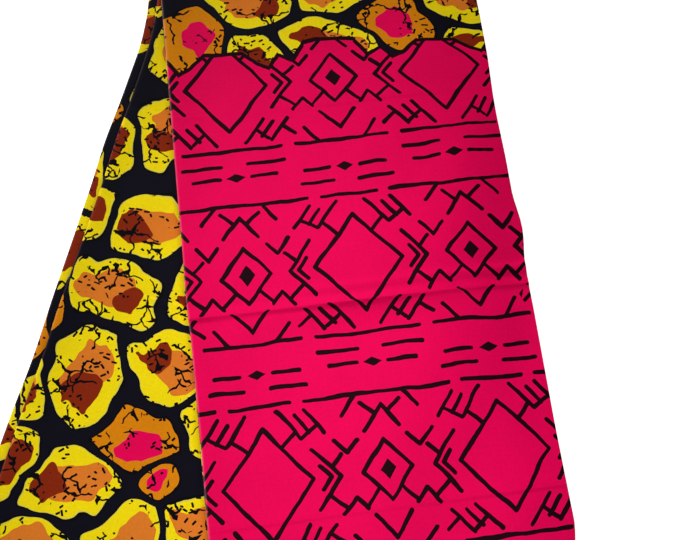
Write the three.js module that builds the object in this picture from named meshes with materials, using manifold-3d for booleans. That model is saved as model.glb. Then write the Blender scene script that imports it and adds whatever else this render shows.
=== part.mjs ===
// A length of wax print cotton, folded to a strip, stacked, and folded over at the middle of the stack.
// It lies on a surface as two legs that spread from one turn, with the front leg on the back leg.
// Millimetres, +Z up, +Y towards the turn. A point of the stack is (across, along, height):
// across runs from the strip's left edge, along runs from the turn's middle (front leg negative),
// and height runs from the inner face of the folded stack (0) to its outer face (STACK).
import * as THREE from "three";
import Module from "manifold-3d";

const wasm = await Module();
wasm.setup();

// The cloth and its folding
const CLOTH_WIDTH = 1143; // 45 inches between the selvedges
const CLOTH_LENGTH = 5486; // 6 yards
const FOLDS_ACROSS = 4;
const LENGTHS = 4; // laid back and forth
const STRIP = CLOTH_WIDTH / FOLDS_ACROSS;
const LEG = CLOTH_LENGTH / LENGTHS / 2;
const BUNDLE = 2; // thickness of one length, four loose plies
const STACK = BUNDLE * LENGTHS;
const SHEET = 1; // wall of a stretch that shows
const GAP = 0.3; // between pieces that touch
const BED = STACK + GAP; // how high the front leg lies where it is on the back leg
const HALF_TURN = (Math.PI * STACK) / 4;
const END = HALF_TURN + LEG;

// Where the legs lie. The origin is the middle of their footprint, on the surface.
const TURN_LEFT = { x: -112.5, y: 337.3 }; // left end of the turn
const TURN_TILT = THREE.MathUtils.degToRad(2.4);
const FRONT_LEAN = THREE.MathUtils.degToRad(7.4);
const BACK_LEAN = THREE.MathUtils.degToRad(-14.5);
const SPREAD_RUN = 220; // the legs reach their lean this far from the turn
const BOW = { rate: 0.0017, run: 115 }; // the back leg's left edge starts bowed

// How the front leg steps down beside the back leg, and how the back leg's layers slip
const STEP_FROM = 4;
const STEP_RUN = 96;
const BAND = 10; // how far the back leg's lower half stands out
const SLIP_RUN = 24;
const BAND_START = HALF_TURN + 4 * GAP; // it shows from the turn on
const TUCK = 6; // how far the band reaches in under the upper half

// Turned edges, and the ends of the stack
const NOSE = 6; // how far a turned edge reaches under
const NOSE_THICK = BUNDLE - GAP;
const LOBE = 1; // how far a layer's edge is rounded back
const LOBE_SHAPE = [
  { back: 1, down: 0.06 },
  { back: 0.2, down: 0.2 },
  { back: 0, down: 0.5 },
  { back: 0.2, down: 0.8 },
  { back: 1, down: 0.94 },
];
const TURN_COVER = 10; // how far the turn's outer ply reaches onto each leg
const COVERED = HALF_TURN + TURN_COVER;
const END_BACK = 1.5; // the hidden layers end this far behind the outer plies
const GROOVE = { deep: 3, thick: 0.4 };

// Pack creases: soft ridges and troughs straight across the strip, measured from the turn
const CREASES = [
  { leg: "front", from: 351, high: 0.8, wide: 9 },
  { leg: "front", from: 515, high: 0.4, wide: 9 },
  { leg: "back", from: 343, high: -0.5, wide: 9 },
  { leg: "back", from: 172, high: -0.3, wide: 9 },
];

// How finely the walls are divided
const STEP_ALONG = 56;
const CLOSEST_ALONG = 4;
const EDGE_STEP = 10;
const TURN_STEPS = 8;
const LEVEL_KNOTS = 2;
const STEP_KNOTS = 5;
const CLOSEST_ACROSS = 2;
const EVEN_KNOT = 1; // the only knot kept where a wall is even all across
const NOSE_ARC = [-90, -45, 0, 45, 90].map(THREE.MathUtils.degToRad);

const smooth = (t) => THREE.MathUtils.smoothstep(t, 0, 1);
const { lerp, clamp } = THREE.MathUtils;

// A leg's left edge is longer or shorter than its middle by what the leg's turning takes.
function leftShare(lean) {
  return 1 + ((lean - TURN_TILT) * STRIP) / 2 / LEG;
}

// A leg's left edge, this far from the turn along the leg's middle.
function leftEdge(front, from) {
  const lean = front ? FRONT_LEAN : BACK_LEAN;
  const run = from * leftShare(lean);
  const x = TURN_LEFT.x + run * Math.sin(lean);
  const y = TURN_LEFT.y - run * Math.cos(lean);
  if (front) {
    return { x, y };
  }
  const unbowed = Math.max(0, BOW.run - run) ** 2;
  return { x: x + BOW.rate * (BOW.run ** 2 - unbowed), y };
}

// Everything that a place along the strip fixes.
function stationAt(along) {
  const front = along < 0;
  const from = Math.max(0, Math.abs(along) - HALF_TURN);
  const lean = front ? FRONT_LEAN : BACK_LEAN;
  const angle = lerp(TURN_TILT, lean, smooth(from / SPREAD_RUN));
  return {
    front,
    from,
    left: leftEdge(front, from),
    across: { x: Math.cos(angle), y: Math.sin(angle) },
    roll: ((clamp(along / HALF_TURN, -1, 1) + 1) * Math.PI) / 2,
    slip: BAND * smooth((along + HALF_TURN) / (SLIP_RUN + HALF_TURN)),
  };
}

function planPlace(station, across) {
  return {
    x: station.left.x + across * station.across.x,
    y: station.left.y + across * station.across.y,
  };
}

// The back leg's right edge, from the turn down.
const BACK_RIGHT = [];
for (let from = 0; from <= LEG + STEP_ALONG; from += EDGE_STEP) {
  BACK_RIGHT.push(planPlace(stationAt(HALF_TURN + from), STRIP));
}

// Distance of a point past the back leg's right edge, negative over the back leg.
function pastBackLeg(x, y) {
  let i = BACK_RIGHT.findIndex((p) => p.y < y);
  i = i < 0 ? BACK_RIGHT.length - 1 : Math.max(1, i);
  const [above, below] = [BACK_RIGHT[i - 1], BACK_RIGHT[i]];
  const part = Math.max(0, (above.y - y) / (above.y - below.y));
  return (x - lerp(above.x, below.x, part)) * Math.cos(BACK_LEAN);
}

// Places across a face: evenly to where the front leg starts to step down, then closer.
function knotsAcross(station) {
  const first = NOSE + CLOSEST_ACROSS;
  const last = STRIP - first;
  const past = (across) => {
    const { x, y } = planPlace(station, across);
    return pastBackLeg(x, y) - STEP_FROM;
  };
  let start = last - STEP_KNOTS * CLOSEST_ACROSS;
  if (station.front && past(start) > 0) {
    start -= past(start) / Math.cos(FRONT_LEAN - BACK_LEAN);
  }
  start = Math.max(first + LEVEL_KNOTS * CLOSEST_ACROSS, start);
  const run = Math.min(STEP_RUN, last - start);
  const level = Array.from({ length: LEVEL_KNOTS }, (_, i) => lerp(first, start, i / LEVEL_KNOTS));
  const step = Array.from({ length: STEP_KNOTS + 1 }, (_, i) => start + (run * i) / STEP_KNOTS);
  return [...level, ...step];
}

// Height of the front leg's bed, on the back leg or down beside it: straight between the knots.
function bedAt(station, across) {
  const knots = [0, ...station.knots, STRIP];
  const past = knots.findIndex((knot) => knot > across);
  const right = past < 0 ? knots.length - 1 : Math.max(1, past);
  const [near, far] = [knots[right - 1], knots[right]];
  const [from, to] = [near, far].map((knot) => {
    const { x, y } = planPlace(station, knot);
    return BED * (1 - smooth((pastBackLeg(x, y) - STEP_FROM) / STEP_RUN));
  });
  return lerp(from, to, clamp((across - near) / (far - near), 0, 1));
}

function creaseAt(station) {
  return CREASES.reduce((sum, row) => {
    const off = Math.abs(station.from - row.from) / row.wide;
    const here = (row.leg === "front") === station.front && off < 1;
    return here ? sum + row.high * (1 - smooth(off)) : sum;
  }, 0);
}

// The place in the world of a point of the stack.
function place(station, across, height) {
  const { x, y } = planPlace(station, across);
  const { roll } = station;
  if (roll > 0 && roll < Math.PI) {
    const radius = GAP / 2 + height;
    const out = radius * Math.sin(roll);
    const z = STACK + GAP / 2 + radius * Math.cos(roll);
    return [x - out * Math.sin(TURN_TILT), y + out * Math.cos(TURN_TILT), z];
  }
  const lift = station.front ? height : STACK - height;
  const rise = creaseAt(station) * Math.max(0, (2 * lift) / STACK - 1);
  const bed = station.front ? bedAt(station, across) : 0;
  return [x, y, bed + lift + rise];
}

// The places along the strip that every piece shares, so that the pieces keep their distance.
function sharedPlaces() {
  const ends = [END + 1, END, END - END_BACK, END - END_BACK - GROOVE.deep];
  const covers = [COVERED, COVERED - GAP, HALF_TURN + GAP, HALF_TURN];
  const fixed = [...ends, BAND_START, BAND_START - GAP, BAND_START - 2 * GAP, ...covers];
  for (let i = 0; i < TURN_STEPS / 2; i += 1) {
    fixed.push((2 * HALF_TURN * i) / TURN_STEPS);
  }
  const places = [];
  for (const leg of [-1, 1]) {
    const own = CREASES.filter((row) => (row.leg === "front") === (leg < 0));
    const folds = own.flatMap(({ from, wide }) => [from - wide, from, from + wide]);
    const set = [...fixed, ...folds.map((from) => HALF_TURN + from)];
    for (let from = STEP_ALONG; from < LEG; from += STEP_ALONG) {
      const far = HALF_TURN + from;
      if (set.every((other) => Math.abs(other - far) > CLOSEST_ALONG)) {
        set.push(far);
      }
    }
    places.push(...set.map((far) => leg * far));
  }
  return [...new Set(places)].sort((a, b) => a - b);
}

const STATIONS = sharedPlaces().map((along) => {
  const station = stationAt(along);
  return { ...station, along, knots: knotsAcross(station) };
});

function stationsBetween(start, end) {
  const near = GAP / 3;
  return STATIONS.filter(({ along }) => along > start - near && along < end + near);
}

// The section of a wall that shows: a face with its edges turned under, or its right edge plain.
function wallSection(wall, station) {
  const { shows, inward, wide, plainRight, even } = wall;
  const slip = wall.slips ? station.slip : 0;
  const round = NOSE_THICK / 2;
  const back = shows + inward * SHEET;
  const under = shows + inward * NOSE_THICK;
  const turned = (edge, side) =>
    NOSE_ARC.map((turn) => [
      edge - side * round * (1 - Math.cos(turn)),
      shows + inward * round * (1 + Math.sin(turn)),
    ]);
  const knots = wide < STRIP ? [] : station.knots.filter((_, i) => !even || i === EVEN_KNOT);
  const right = plainRight
    ? [[wide, shows], [wide, back]]
    : [...turned(wide, 1), [wide - NOSE, under], [wide - NOSE, back]];
  const points = [
    [NOSE, back],
    [NOSE, under],
    ...turned(0, -1).reverse(),
    ...knots.map((across) => [across, shows]),
    ...right,
    ...knots.toReversed().map((across) => [across, back]),
  ];
  return points.map(([across, height]) => [across - slip, height]);
}

// The section of the plies between the walls: two faces, and at each edge a rounded lobe for each
// of the two middle lengths, with room for the walls' turned edges and for the band.
function hiddenSection(station) {
  const { knots, slip } = station;
  const beside = NOSE + GAP;
  const [low, middle, high] = [BUNDLE, STACK / 2, STACK - BUNDLE];
  const rounded = (edge, deep, top, bottom) =>
    LOBE_SHAPE.map(({ back, down }) => [edge + back * deep, lerp(top, bottom, down)]);
  const lobe = (base) => rounded(0, LOBE, base + BUNDLE, base);
  const outer = [[beside, STACK - SHEET - GAP], [beside, high], ...lobe(middle)];
  const inner = [...lobe(low), [beside, low], [beside, SHEET + GAP]];
  const pastBand = middle + SHEET + GAP;
  const banded = [
    ...rounded(beside, LOBE / 2, STACK - SHEET - GAP, pastBand),
    [BAND + TUCK + GAP, pastBand],
    [BAND + TUCK + 2 * GAP, middle],
  ];
  const tucked = [[TUCK + GAP, middle - GAP], [LOBE / 2, middle - GAP], ...inner.slice(2)];
  const onBand = station.along > BAND_START - 1.5 * GAP;
  const slipped = (points) => points.map(([across, height]) => [across - slip, height]);
  const mirrored = (points) => points.map(([across, height]) => [STRIP - across, height]);
  return [
    ...slipped(onBand ? banded : outer),
    ...(onBand ? tucked : inner),
    ...knots.map((across) => [across, SHEET + GAP]),
    ...mirrored(inner).reverse(),
    ...slipped(mirrored(outer)).reverse(),
    ...slipped(knots.map((across) => [across, STACK - SHEET - GAP])).reverse(),
  ];
}

// A slit between two lengths, wider than the stack.
function slitSection(station, height) {
  const knots = [-2 * BAND, 0, ...station.knots, STRIP, STRIP + BAND];
  const half = GROOVE.thick / 2;
  return [
    ...knots.map((across) => [across, height - half]),
    ...knots.toReversed().map((across) => [across, height + half]),
  ];
}

// The triangles that close a ring where it lies, turned the same way round as the ring itself.
function capOf(station, ring) {
  const points = ring.map(([across, height]) => {
    const [, , z] = place(station, across, height);
    return new THREE.Vector2(across, z);
  });
  const faces = THREE.ShapeUtils.triangulateShape(points, []);
  const faceArea = THREE.ShapeUtils.area(faces[0].map((i) => points[i]));
  const sameWay = faceArea * THREE.ShapeUtils.area(points) > 0;
  return sameWay ? faces : faces.map(([a, b, c]) => [a, c, b]);
}

// A closed solid through the sections at the places along the strip. Every face is split the same
// way, from its left corner nearer the start, so that walls laid on each other keep their distance.
function loft(start, end, sectionAt) {
  const stations = stationsBetween(start, end);
  const rings = stations.map(sectionAt);
  const count = rings[0].length;
  const vertProperties = new Float32Array(
    rings.flatMap((ring, i) => ring.flatMap(([a, h]) => place(stations[i], a, h))),
  );
  const triangles = [];
  for (let i = 1; i < rings.length; i += 1) {
    for (let k = 0; k < count; k += 1) {
      const next = (k + 1) % count;
      const [a, b] = [(i - 1) * count + k, (i - 1) * count + next];
      const split = rings[i][next][0] >= rings[i][k][0] ? [a, b + count] : [b, a + count];
      triangles.push([a, b, split[1]], [split[0], b + count, a + count]);
    }
  }
  const lastRing = (rings.length - 1) * count;
  const [first, last] = [capOf(stations[0], rings[0]), capOf(stations.at(-1), rings.at(-1))];
  triangles.push(...first.map(([a, b, c]) => [a, c, b]));
  triangles.push(...last.map((face) => face.map((corner) => corner + lastRing)));
  const facing = (flip) =>
    new wasm.Manifold(
      new wasm.Mesh({
        numProp: 3,
        vertProperties,
        triVerts: new Uint32Array(triangles.flatMap(([a, b, c]) => (flip ? [a, c, b] : [a, b, c]))),
      }),
    );
  const solid = facing(false);
  return solid.volume() > 0 ? solid : facing(true);
}

// The stretches that show. shows is the height of the face that shows, inward the way to its back.
const WALLS = [
  { name: "front_leg_face", shows: STACK, inward: -1, start: -END, end: -COVERED },
  { name: "front_leg_underside", shows: 0, inward: 1, start: -END, end: HALF_TURN },
  {
    name: "top_turn",
    shows: STACK,
    inward: -1,
    slips: true,
    even: true,
    start: GAP - COVERED,
    end: COVERED - GAP,
  },
  {
    name: "back_leg_underside",
    shows: STACK,
    inward: -1,
    slips: true,
    even: true,
    start: COVERED,
    end: END,
  },
  {
    name: "back_leg_lower_band",
    shows: STACK / 2,
    inward: 1,
    slips: true,
    wide: BAND + TUCK,
    plainRight: true,
    start: BAND_START,
    end: END,
  },
  { name: "back_leg_face", shows: 0, inward: 1, even: true, start: HALF_TURN + GAP, end: END },
].map((wall) => ({ wide: STRIP, ...wall }));

// All the plies between the walls, slit between the lengths at the stack's two ends.
function hiddenLayers() {
  const reach = END - END_BACK;
  let solid = loft(-reach, reach, hiddenSection);
  for (let layer = 1; layer < LENGTHS; layer += 1) {
    const section = (station) => slitSection(station, layer * BUNDLE);
    solid = solid.subtract(loft(-END - 1, GROOVE.deep - reach, section));
    solid = solid.subtract(loft(reach - GROOVE.deep, END + 1, section));
  }
  return solid;
}

function clothMaterial(color) {
  return new THREE.MeshStandardMaterial({ color, roughness: 0.78, metalness: 0 });
}

const MAGENTA = clothMaterial(0xe8004d);
const NAVY = clothMaterial(0x0e1020);

function clothMesh(name, solid, material) {
  const { vertProperties, triVerts } = solid.getMesh();
  const geometry = new THREE.BufferGeometry();
  geometry.setAttribute("position", new THREE.BufferAttribute(vertProperties, 3));
  geometry.setIndex(new THREE.BufferAttribute(triVerts, 1));
  geometry.computeVertexNormals();
  const mesh = new THREE.Mesh(geometry, material);
  mesh.name = name;
  return mesh;
}

const cloth = new THREE.Group();
for (const wall of WALLS) {
  const material = wall.name.startsWith("front") ? MAGENTA : NAVY;
  const solid = loft(wall.start, wall.end, (station) => wallSection(wall, station));
  cloth.add(clothMesh(wall.name, solid, material));
}
cloth.add(clothMesh("hidden_layers", hiddenLayers(), NAVY));

export default cloth;
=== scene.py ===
import bpy
import math
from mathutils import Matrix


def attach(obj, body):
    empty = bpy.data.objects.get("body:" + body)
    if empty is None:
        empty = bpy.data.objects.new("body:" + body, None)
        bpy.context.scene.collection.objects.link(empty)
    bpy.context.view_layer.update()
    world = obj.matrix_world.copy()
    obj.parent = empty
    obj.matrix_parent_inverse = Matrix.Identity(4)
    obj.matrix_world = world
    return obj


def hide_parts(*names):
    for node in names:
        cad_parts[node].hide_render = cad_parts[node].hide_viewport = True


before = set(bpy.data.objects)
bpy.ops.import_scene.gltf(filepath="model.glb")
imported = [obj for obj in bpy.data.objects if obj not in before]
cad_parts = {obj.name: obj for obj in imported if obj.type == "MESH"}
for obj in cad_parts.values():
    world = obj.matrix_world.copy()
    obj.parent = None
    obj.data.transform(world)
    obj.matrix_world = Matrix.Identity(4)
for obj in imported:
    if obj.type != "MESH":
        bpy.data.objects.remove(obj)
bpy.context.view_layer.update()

# A length of wax print cotton: folded to a strip, four lengths stacked, and the stack folded over
# at its middle, so that two legs spread from one turn. A place in the stack is (along, across,
# height) in millimetres: along runs from the turn's middle, negative on the front leg, across from
# the strip's left edge, and height from the stack's inner face to its outer face.
MM = 0.001

# The cloth and its folding
CLOTH_WIDTH = 1143.0
CLOTH_LENGTH = 5486.0
STRIP = CLOTH_WIDTH / 4
LENGTHS = 4
LEG = CLOTH_LENGTH / LENGTHS / 2
PLY = 0.5  # from one ply to the next
CLOTH = 0.36  # thickness of the cotton itself
BUNDLE = 4 * PLY
STACK = LENGTHS * BUNDLE
GAP = 0.3
BED = STACK + GAP
HALF_TURN = math.pi * STACK / 4
END = HALF_TURN + LEG
END_TURN_REACH = 1.6  # room for two lengths to turn into each other at an end of the stack
STRAIGHT_END = END - END_TURN_REACH

# Where the legs lie
TURN_LEFT = (-112.5, 337.3)
TURN_TILT = math.radians(2.4)
FRONT_LEAN = math.radians(7.4)
BACK_LEAN = math.radians(-14.5)
SPREAD_RUN = 220.0
BOW_RATE = 0.0017
BOW_RUN = 115.0
STEP_FROM = 4.0
STEP_RUN = 96.0
BAND = 10.0  # how far the back leg's lower half stands out
SLIP_RUN = 24.0
BAND_START = HALF_TURN + 4 * GAP
TURN_COVER = 10.0  # how far the turn's outer ply reaches onto each leg
COVERED = HALF_TURN + TURN_COVER

# Folded edges of one length: a deep nose on the left, two small ones on the right
NOSE_REACH = 3.0
SMALL_NOSE_REACH = 1.3
SMALL_NOSE_BACK = 0.7  # the lower small nose stops this much short
EDGE_PUFF = 1.4  # the upper plies stand this much higher at the deep nose
EDGE_PUFF_RUN = 24.0
EDGE_DROOP = 2.0  # and this much lower at the small noses
EDGE_DROOP_RUN = 50.0
SELVEDGE_IN = 6.0  # the selvedges lie this far inside the deep nose
NOSE_STEPS = 9
SMALL_NOSE_STEPS = 5

# How finely the cloth is divided
ACROSS_STEP = 7.0
ALONG_STEP = 8.0
CLOSEST_ALONG = ALONG_STEP / 3
TURN_STEPS = 14
END_TURN_STEPS = 7
EDGE_STEP = 10.0  # from one known place to the next along the back leg's right edge
EDGE_STEPS_PAST = 8  # of them, about this many past the leg's end
NEAR = 0.01  # closer than this, two places are one
SMOOTH_UNDER = math.radians(50)

# Pack creases across the strip. from is the place at the left and right edge, and rise the ridge
# there. wide is the run over which the ridge rises, drop the run of the steep side past it, groove
# the hollow past that, as a share of the ridge, and tucked how much cloth the steep side takes up.
# A crisp crease falls at once, and then ever more gently.
CREASES = [
    {
        "leg": "front", "from": (348.8, 351.5), "rise": (1.6, 1.3),
        "groove": 0.35, "drop": 4.6, "wide": 10.0, "tucked": 3.4, "crisp": True,
    },
    {
        "leg": "front", "from": (337.0, 337.0), "rise": (0.0, 1.6),
        "groove": 0.1, "drop": 9.0, "wide": 7.0, "tucked": 0.3,
    },
    {
        "leg": "front", "from": (515.0, 515.0), "rise": (0.2, 0.35),
        "groove": 0.2, "drop": 3.0, "wide": 12.0, "tucked": 0.6,
    },
    {
        "leg": "front", "from": (172.0, 172.0), "rise": (0.15, 0.25),
        "groove": 0.2, "drop": 4.0, "wide": 10.0, "tucked": 0.4,
    },
    {
        "leg": "back", "from": (343.0, 343.0), "rise": (-0.45, -0.35),
        "groove": 0.1, "drop": 2.5, "wide": 9.0, "tucked": 0.8,
    },
    {
        "leg": "back", "from": (172.0, 172.0), "rise": (-0.25, -0.3),
        "groove": 0.1, "drop": 3.0, "wide": 9.0, "tucked": 0.4,
    },
]
# The cloth has a row of points this far past a crease, or before it.
CREASE_OFFSETS = (-12, -8, -5, -3.2, -2.2, -1.4, -0.7, 0, 0.7, 1.4, 2.2, 3, 3.8, 5, 7, 10)
GROOVE_FADE = 3  # the groove fades over this many drops
CREASE_UNEVEN = {"share": 0.35, "run": 31.0}  # a ridge's height varies by this share, over this run

# Soft swells and hollows of the plies: the place of the middle, from the turn and from the strip's
# left edge, how far it reaches along and across, how far it is turned, and how high it stands.
# Where it has beyond, that is its reach on the side away from the turn.
SWELLS = [
    {"leg": "front", "at": (140, 0), "long": 100, "wide": 42, "turn": 0, "high": 1.6},
    {"leg": "front", "at": (385, 232), "long": 60, "wide": 58, "turn": 0, "high": 1.2},
    {"leg": "front", "at": (372, 286), "long": 76, "wide": 34, "turn": 0, "high": -1.0},
    {"leg": "front", "at": (308, 135), "long": 46, "wide": 175, "turn": 0, "high": 1.9},
    {"leg": "front", "at": (354, 60), "long": 34, "wide": 110, "turn": 0, "high": -0.7},
    {
        "leg": "front", "at": (367, 152), "long": 15, "beyond": 62, "wide": 128,
        "turn": 1, "high": -2.5,
    },
    {"leg": "front", "at": (347, 250), "long": 30, "wide": 90, "turn": 5, "high": -0.8},
    {"leg": "front", "at": (440, 166), "long": 72, "wide": 95, "turn": 12, "high": 1.8},
    {"leg": "front", "at": (409, 47), "long": 55, "wide": 28, "turn": -8, "high": -1.1},
    {"leg": "front", "at": (419, 99), "long": 60, "wide": 36, "turn": -8, "high": 0.8},
    {"leg": "front", "at": (478, 92), "long": 66, "wide": 120, "turn": 0, "high": 1.2},
    {"leg": "front", "at": (164, 206), "long": 80, "wide": 52, "turn": 6, "high": 1.5},
    {"leg": "front", "at": (205, 60), "long": 60, "wide": 40, "turn": 20, "high": 0.8},
    {"leg": "front", "at": (434, 228), "long": 110, "wide": 62, "turn": 8, "high": 1.8},
    {
        "leg": "front", "at": (556, 240), "long": 175, "beyond": 230, "wide": 128,
        "turn": 13, "high": 5.4,
    },
    {"leg": "back", "at": (250, 40), "long": 90, "wide": 34, "turn": 8, "high": 0.9},
    {"leg": "back", "at": (430, 80), "long": 80, "wide": 60, "turn": -20, "high": 1.1},
    {"leg": "back", "at": (560, 150), "long": 70, "wide": 90, "turn": 15, "high": 1.0},
]

# Slow rises and falls of the plies: length of the wave, its direction, its height and its start
HEAVES = [
    {"length": 96.0, "turn": 20.0, "high": 0.16, "start": 0.4},
    {"length": 61.0, "turn": 105.0, "high": 0.11, "start": 2.1},
    {"length": 143.0, "turn": 68.0, "high": 0.2, "start": 4.4},
    {"length": 37.0, "turn": 150.0, "high": 0.05, "start": 1.3},
]

# Where an edge bulges out or pulls in, measured from the turn
EDGE_BULGES = [
    {"leg": "front", "side": "right", "from": 303.0, "out": 3.3, "wide": 34.0},
    {"leg": "front", "side": "right", "from": 566.0, "out": -3.2, "wide": 24.0},
    {"leg": "front", "side": "right", "from": 190.0, "out": -1.2, "wide": 60.0},
    {"leg": "front", "side": "left", "from": 330.0, "out": 0.8, "wide": 40.0},
    {"leg": "back", "side": "left", "from": 210.0, "out": 1.0, "wide": 50.0},
    {"leg": "back", "side": "left", "from": 420.0, "out": -1.2, "wide": 60.0},
]
EDGE_FADE = 60.0  # an edge's own unevenness dies out this far into the strip
# Each length's edges waver on their own: how far, over what run, and how much later than the last's
WAVER = 0.5
LEFT_WAVER = {"run": 57.0, "later": 2.1}
RIGHT_WAVER = {"run": 43.0, "later": 1.3}
FRESH_RUN = 30.0  # swells set in over this run from the turn


def smooth(t):
    t = min(1.0, max(0.0, t))
    return t * t * (3 - 2 * t)


def lerp(a, b, t):
    return a + (b - a) * t


# --- Where a place in the stack lies ---------------------------------------------------------------


def left_edge(front, from_turn):
    lean = FRONT_LEAN if front else BACK_LEAN
    run = from_turn * (1 + (lean - TURN_TILT) * STRIP / 2 / LEG)
    x = TURN_LEFT[0] + run * math.sin(lean)
    y = TURN_LEFT[1] - run * math.cos(lean)
    if not front:
        x += BOW_RATE * (BOW_RUN**2 - max(0.0, BOW_RUN - run) ** 2)
    return x, y


class Station:
    """What a place along the strip fixes."""

    def __init__(self, along):
        self.along = along
        self.front = along < 0
        self.leg = "front" if self.front else "back"
        self.from_turn = max(0.0, abs(along) - HALF_TURN)
        lean = FRONT_LEAN if self.front else BACK_LEAN
        angle = lerp(TURN_TILT, lean, smooth(self.from_turn / SPREAD_RUN))
        self.left = left_edge(self.front, self.from_turn)
        self.across = (math.cos(angle), math.sin(angle))
        self.onward = (math.sin(angle), -math.cos(angle))
        self.roll = (min(1.0, max(-1.0, along / HALF_TURN)) + 1) * math.pi / 2
        self.slip = BAND * smooth((along + HALF_TURN) / (SLIP_RUN + HALF_TURN))

    def plan(self, across):
        return (
            self.left[0] + across * self.across[0],
            self.left[1] + across * self.across[1],
        )

    def past_crease(self, crease, across):
        """How far this place lies past the crease, which may run askew."""
        return self.from_turn - lerp(*crease["from"], across / STRIP)

    def tucked(self, across):
        """Cloth taken up by the creases between the turn and here."""
        total = 0.0
        for crease in CREASES:
            if crease["leg"] == self.leg:
                past = self.past_crease(crease, across) / crease["drop"]
                total += crease["tucked"] * smooth(past + 0.5)
        return total


BACK_RIGHT = [
    Station(HALF_TURN + NEAR + EDGE_STEP * i).plan(STRIP)
    for i in range(int(LEG / EDGE_STEP) + EDGE_STEPS_PAST)
]


def past_back_leg(x, y):
    """How far a point lies past the back leg's right edge, negative over the back leg."""
    i = 1
    while i < len(BACK_RIGHT) - 1 and BACK_RIGHT[i][1] >= y:
        i += 1
    above, below = BACK_RIGHT[i - 1], BACK_RIGHT[i]
    part = max(0.0, (above[1] - y) / (above[1] - below[1]))
    return (x - lerp(above[0], below[0], part)) * math.cos(BACK_LEAN)


def bed_height(x, y):
    """The front leg lies on the back leg, and steps down to the surface beside it."""
    return BED * (1 - smooth((past_back_leg(x, y) - STEP_FROM) / STEP_RUN))


def crease_height(station, across):
    total = 0.0
    for crease in CREASES:
        if crease["leg"] != station.leg:
            continue
        off = station.past_crease(crease, across)
        rise = lerp(*crease["rise"], smooth(across / STRIP))
        turn = across / CREASE_UNEVEN["run"] + crease["from"][0]
        rise *= 1 + CREASE_UNEVEN["share"] * math.sin(turn)
        if off < 0:
            total += rise * (1 - smooth(-off / crease["wide"]))
        else:
            part = off / crease["drop"]
            groove = rise * crease["groove"] * (1 - smooth((part - 1) / GROOVE_FADE))
            left = max(0.0, 1 - part) ** 2 if crease.get("crisp") else 1 - smooth(part)
            total += lerp(-groove, rise, left)
    return total


def swell_height(station, across):
    total = 0.0
    for swell in SWELLS:
        if swell["leg"] == station.leg:
            turn = math.radians(swell["turn"])
            along = station.from_turn - swell["at"][0]
            aside = across - swell["at"][1]
            run = along * math.cos(turn) + aside * math.sin(turn)
            run /= swell.get("beyond", swell["long"]) if run > 0 else swell["long"]
            rank = (aside * math.cos(turn) - along * math.sin(turn)) / swell["wide"]
            total += swell["high"] * (1 - smooth(math.hypot(run, rank)))
    return total


def edge_height(across):
    """The plies stand apart at the deep nose, and lie closer at the small ones."""
    puff = EDGE_PUFF * (1 - smooth(across / EDGE_PUFF_RUN))
    return puff - EDGE_DROOP * (1 - smooth((STRIP - across) / EDGE_DROOP_RUN))


def heave_height(x, y):
    total = 0.0
    for heave in HEAVES:
        turn = math.radians(heave["turn"])
        run = x * math.cos(turn) + y * math.sin(turn)
        total += heave["high"] * math.sin(math.tau * run / heave["length"] + heave["start"])
    return total


def waver(row, along, length_number):
    return math.sin(along / row["run"] + row["later"] * length_number) * WAVER


def edge_shift(station, across, length_number):
    """How far the stack's edges stray from straight, with each length a little on its own."""
    left = 1 - smooth(across / EDGE_FADE)
    right = 1 - smooth((STRIP - across) / EDGE_FADE)
    shift = right * waver(RIGHT_WAVER, station.along, length_number)
    shift -= left * waver(LEFT_WAVER, station.along, length_number)
    for bulge in EDGE_BULGES:
        if bulge["leg"] == station.leg:
            off = abs(station.from_turn - bulge["from"]) / bulge["wide"]
            out = bulge["out"] * (1 - smooth(off))
            shift += right * out if bulge["side"] == "right" else -left * out
    return shift


def place(station, across, height, length_number, turned=0.0, hinge=None):
    """The world place, in millimetres, of a place in the stack. turned is the angle, and hinge the
    height, of the turn that joins two lengths at an end of the stack."""
    slip = station.slip if height > STACK / 2 else 0.0
    onward = 0.0
    if hinge is not None:
        reach = height - hinge
        onward = abs(reach) * math.sin(turned)
        height = hinge + reach * math.cos(turned)
        if hinge == STACK / 2:
            slip = station.slip * (1 + math.cos(turned)) / 2
    across = across + edge_shift(station, across, length_number) - slip
    x, y = station.plan(across)
    x += onward * station.onward[0]
    y += onward * station.onward[1]
    if 0.0 < station.roll < math.pi:
        radius = GAP / 2 + height
        out = radius * math.sin(station.roll)
        z = STACK + GAP / 2 + radius * math.cos(station.roll)
        return x - out * math.sin(TURN_TILT), y + out * math.cos(TURN_TILT), z
    lift = height if station.front else STACK - height
    fresh = smooth(station.from_turn / FRESH_RUN)
    upper = max(0.0, 2 * lift / STACK - 1)
    rise = crease_height(station, across) * upper
    rise += (heave_height(x, y) + swell_height(station, across)) * fresh * lift / STACK
    rise += edge_height(across) * fresh * upper
    bed = bed_height(x, y) if station.front else 0.0
    return x, y, bed + lift + rise


# --- The cloth ------------------------------------------------------------------------------------


def arc(centre, reach, half, steps, side):
    """A folded edge from its upper ply to its lower one, as (across, height)."""
    points = []
    for i in range(steps):
        turn = math.pi * (i + 1) / (steps + 1)
        points.append((centre[0] + side * reach * math.sin(turn), centre[1] + half * math.cos(turn)))
    return points


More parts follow.
